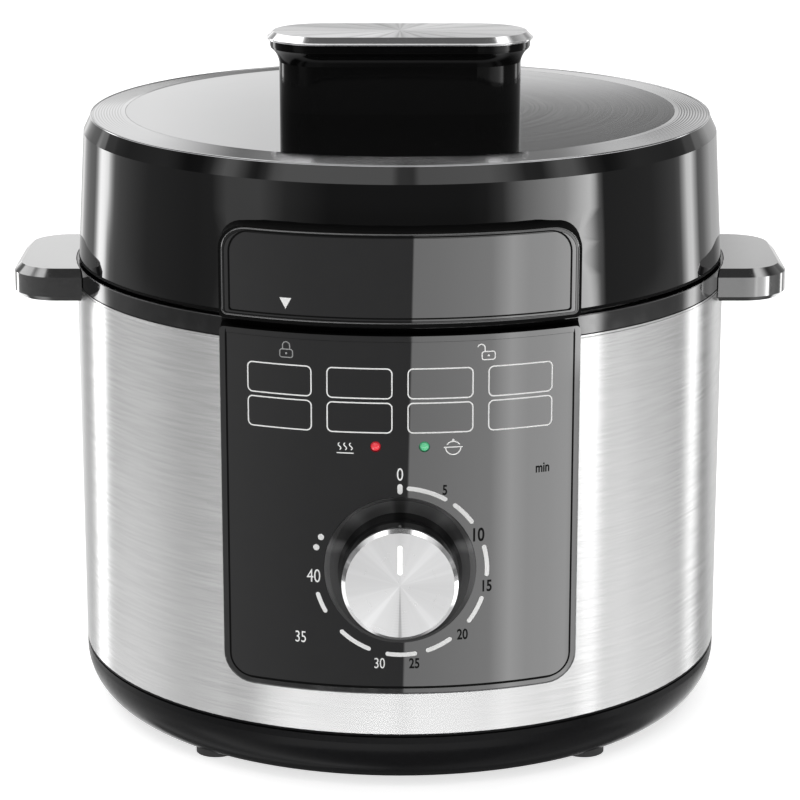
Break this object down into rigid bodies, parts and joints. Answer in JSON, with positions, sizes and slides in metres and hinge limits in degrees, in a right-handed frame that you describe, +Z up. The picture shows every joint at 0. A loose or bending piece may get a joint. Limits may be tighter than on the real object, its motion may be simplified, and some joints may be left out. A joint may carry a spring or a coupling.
{
  "type": "electric pressure cooker",
  "caption": "Electric pressure cooker with a brushed steel body, gloss black twist-lock lid and centre handle, dial timer panel, side grips, inner pot, relief valve and rear drip cup.",
  "frame": {"origin": "centre of the overall box, on the plane that the feet stand on", "axes": "+Z up, -Y towards the front with the dial panel, +X towards the right-hand grip seen from the front"},
  "size_m": [0.325, 0.3244, 0.2865],
  "materials": {
    "base_black": "satin gloss moulding",
    "foot_rubber": "matt",
    "screw_steel": "zinc plated",
    "zinc_steel": "zinc plated",
    "shell_steel": "finely brushed around the body",
    "ring_black": "gloss",
    "grip_black": "satin",
    "frame_black": "gloss",
    "panel_gloss": "high gloss with white print",
    "dish_black": "high gloss",
    "lamp_red": "clear gloss",
    "lamp_green": "clear gloss",
    "board_green": "solder mask",
    "timer_white": "moulded",
    "knob_silver": "turned face with a sunburst grain",
    "knob_black": "gloss",
    "shaft_steel": "turned",
    "outer_pot_alu": "cast, matt",
    "pot_coating": "dark non-stick coating",
    "heater_alu": "cast and turned",
    "element_steel": "heat darkened",
    "spring_steel": "plain",
    "switch_ceramic": "moulded",
    "cutout_black": "moulded",
    "sensor_alu": "pressed",
    "lid_black": "gloss",
    "disc_steel": "polished centre, fine rings near the edge",
    "tab_gloss": "high gloss with a white line and triangle",
    "neck_black": "gloss neck, satin flare",
    "rim_black": "gloss",
    "cap_silver": "sunburst grain",
    "inner_lid_alu": "pressed",
    "seal_silicone": "translucent white silicone",
    "vent_steel": "turned",
    "weight_steel": "turned",
    "valve_black": "satin",
    "float_alu": "turned",
    "inlet_black": "moulded",
    "pin_brass": "nickel-free, drawn",
    "bracket_black": "moulded",
    "cup_clear": "translucent",
    "wire_insulation": "heat resistant sleeve"
  },
  "bodies": {
    "cooker": {"base_shell": "base_black", "base_feet": "foot_rubber", "base_screws": "screw_steel", "base_brackets": "zinc_steel", "steel_shell": "shell_steel", "body_ring": "ring_black", "handle_left": "grip_black", "handle_right": "grip_black", "grip_screws": "screw_steel", "panel_frame": "frame_black", "control_panel": "panel_gloss", "panel_screws": "screw_steel", "dial_dish": "dish_black", "lamp_heating": "lamp_red", "lamp_warm": "lamp_green", "lamp_board": "board_green", "timer_bracket": "zinc_steel", "timer_screws": "screw_steel", "timer_housing": "timer_white", "outer_pot": "outer_pot_alu", "flange_screws": "screw_steel", "heater_plate": "heater_alu", "heater_element": "element_steel", "elastic_plate": "spring_steel", "pressure_switch": "switch_ceramic", "thermal_cutout": "cutout_black", "sensor_guide": "zinc_steel", "sensor_spring": "spring_steel", "power_inlet": "inlet_black", "inlet_pins": "pin_brass", "inlet_screws": "screw_steel", "cup_bracket": "bracket_black", "cup_screws": "screw_steel", "terminal_block": "timer_white", "wiring": "wire_insulation"},
    "pot": {"inner_pot": "pot_coating"},
    "knob": {"knob_cap": "knob_silver", "knob_body": "knob_black", "timer_shaft": "shaft_steel"},
    "sensor": {"sensor_cup": "sensor_alu"},
    "cup": {"condensate_cup": "cup_clear"},
    "seal": {"sealing_ring": "seal_silicone"},
    "lid": {"lid_cover": "lid_black", "lid_disc": "disc_steel", "lid_tab_plate": "tab_gloss", "lid_handle": "neck_black", "handle_rim": "rim_black", "handle_cap": "cap_silver", "handle_screws": "screw_steel", "inner_lid": "inner_lid_alu", "inner_lid_screws": "screw_steel", "seal_carrier": "zinc_steel", "vent_pipe": "vent_steel", "vent_nut": "zinc_steel", "block_guard": "vent_steel", "float_bush": "seal_silicone"},
    "valve": {"valve_weight": "weight_steel", "valve_cap": "valve_black"},
    "float": {"float_pin": "float_alu", "float_gasket": "seal_silicone"}
  },
  "joints": [
    {"name": "lid_lift", "type": "slide", "parent": "cooker", "child": "seal", "axis": [0, 0, 1], "range_m": [0, 0.16]},
    {"name": "lid_turn", "type": "hinge", "parent": "seal", "child": "lid", "pos_m": [0, 0, 0.2], "axis": [0, 0, 1], "range_deg": [0, 31]},
    {"name": "knob_turn", "type": "hinge", "parent": "cooker", "child": "knob", "pos_m": [0, -0.15, 0.096], "axis": [0, 1, 0], "range_deg": [0, 273]},
    {"name": "valve_lift", "type": "slide", "parent": "lid", "child": "valve", "axis": [0, 0, 1], "range_m": [0, 0.014]},
    {"name": "float_rise", "type": "slide", "parent": "lid", "child": "float", "axis": [0, 0, 1], "range_m": [0, 0.005]},
    {"name": "sensor_press", "type": "slide", "parent": "cooker", "child": "sensor", "axis": [0, 0, 1], "range_m": [-0.003, 0], "stiffness_N_per_m": 300, "springref_m": 0.004, "deforming": ["sensor_spring"]},
    {"name": "cup_pull", "type": "slide", "parent": "cooker", "child": "cup", "axis": [0, 1, 0], "range_m": [0, 0.04]},
    {"name": "pot_turn", "type": "hinge", "parent": "cooker", "child": "pot", "pos_m": [0, 0, 0.06], "axis": [0, 0, 1], "continuous": true}
  ]
}
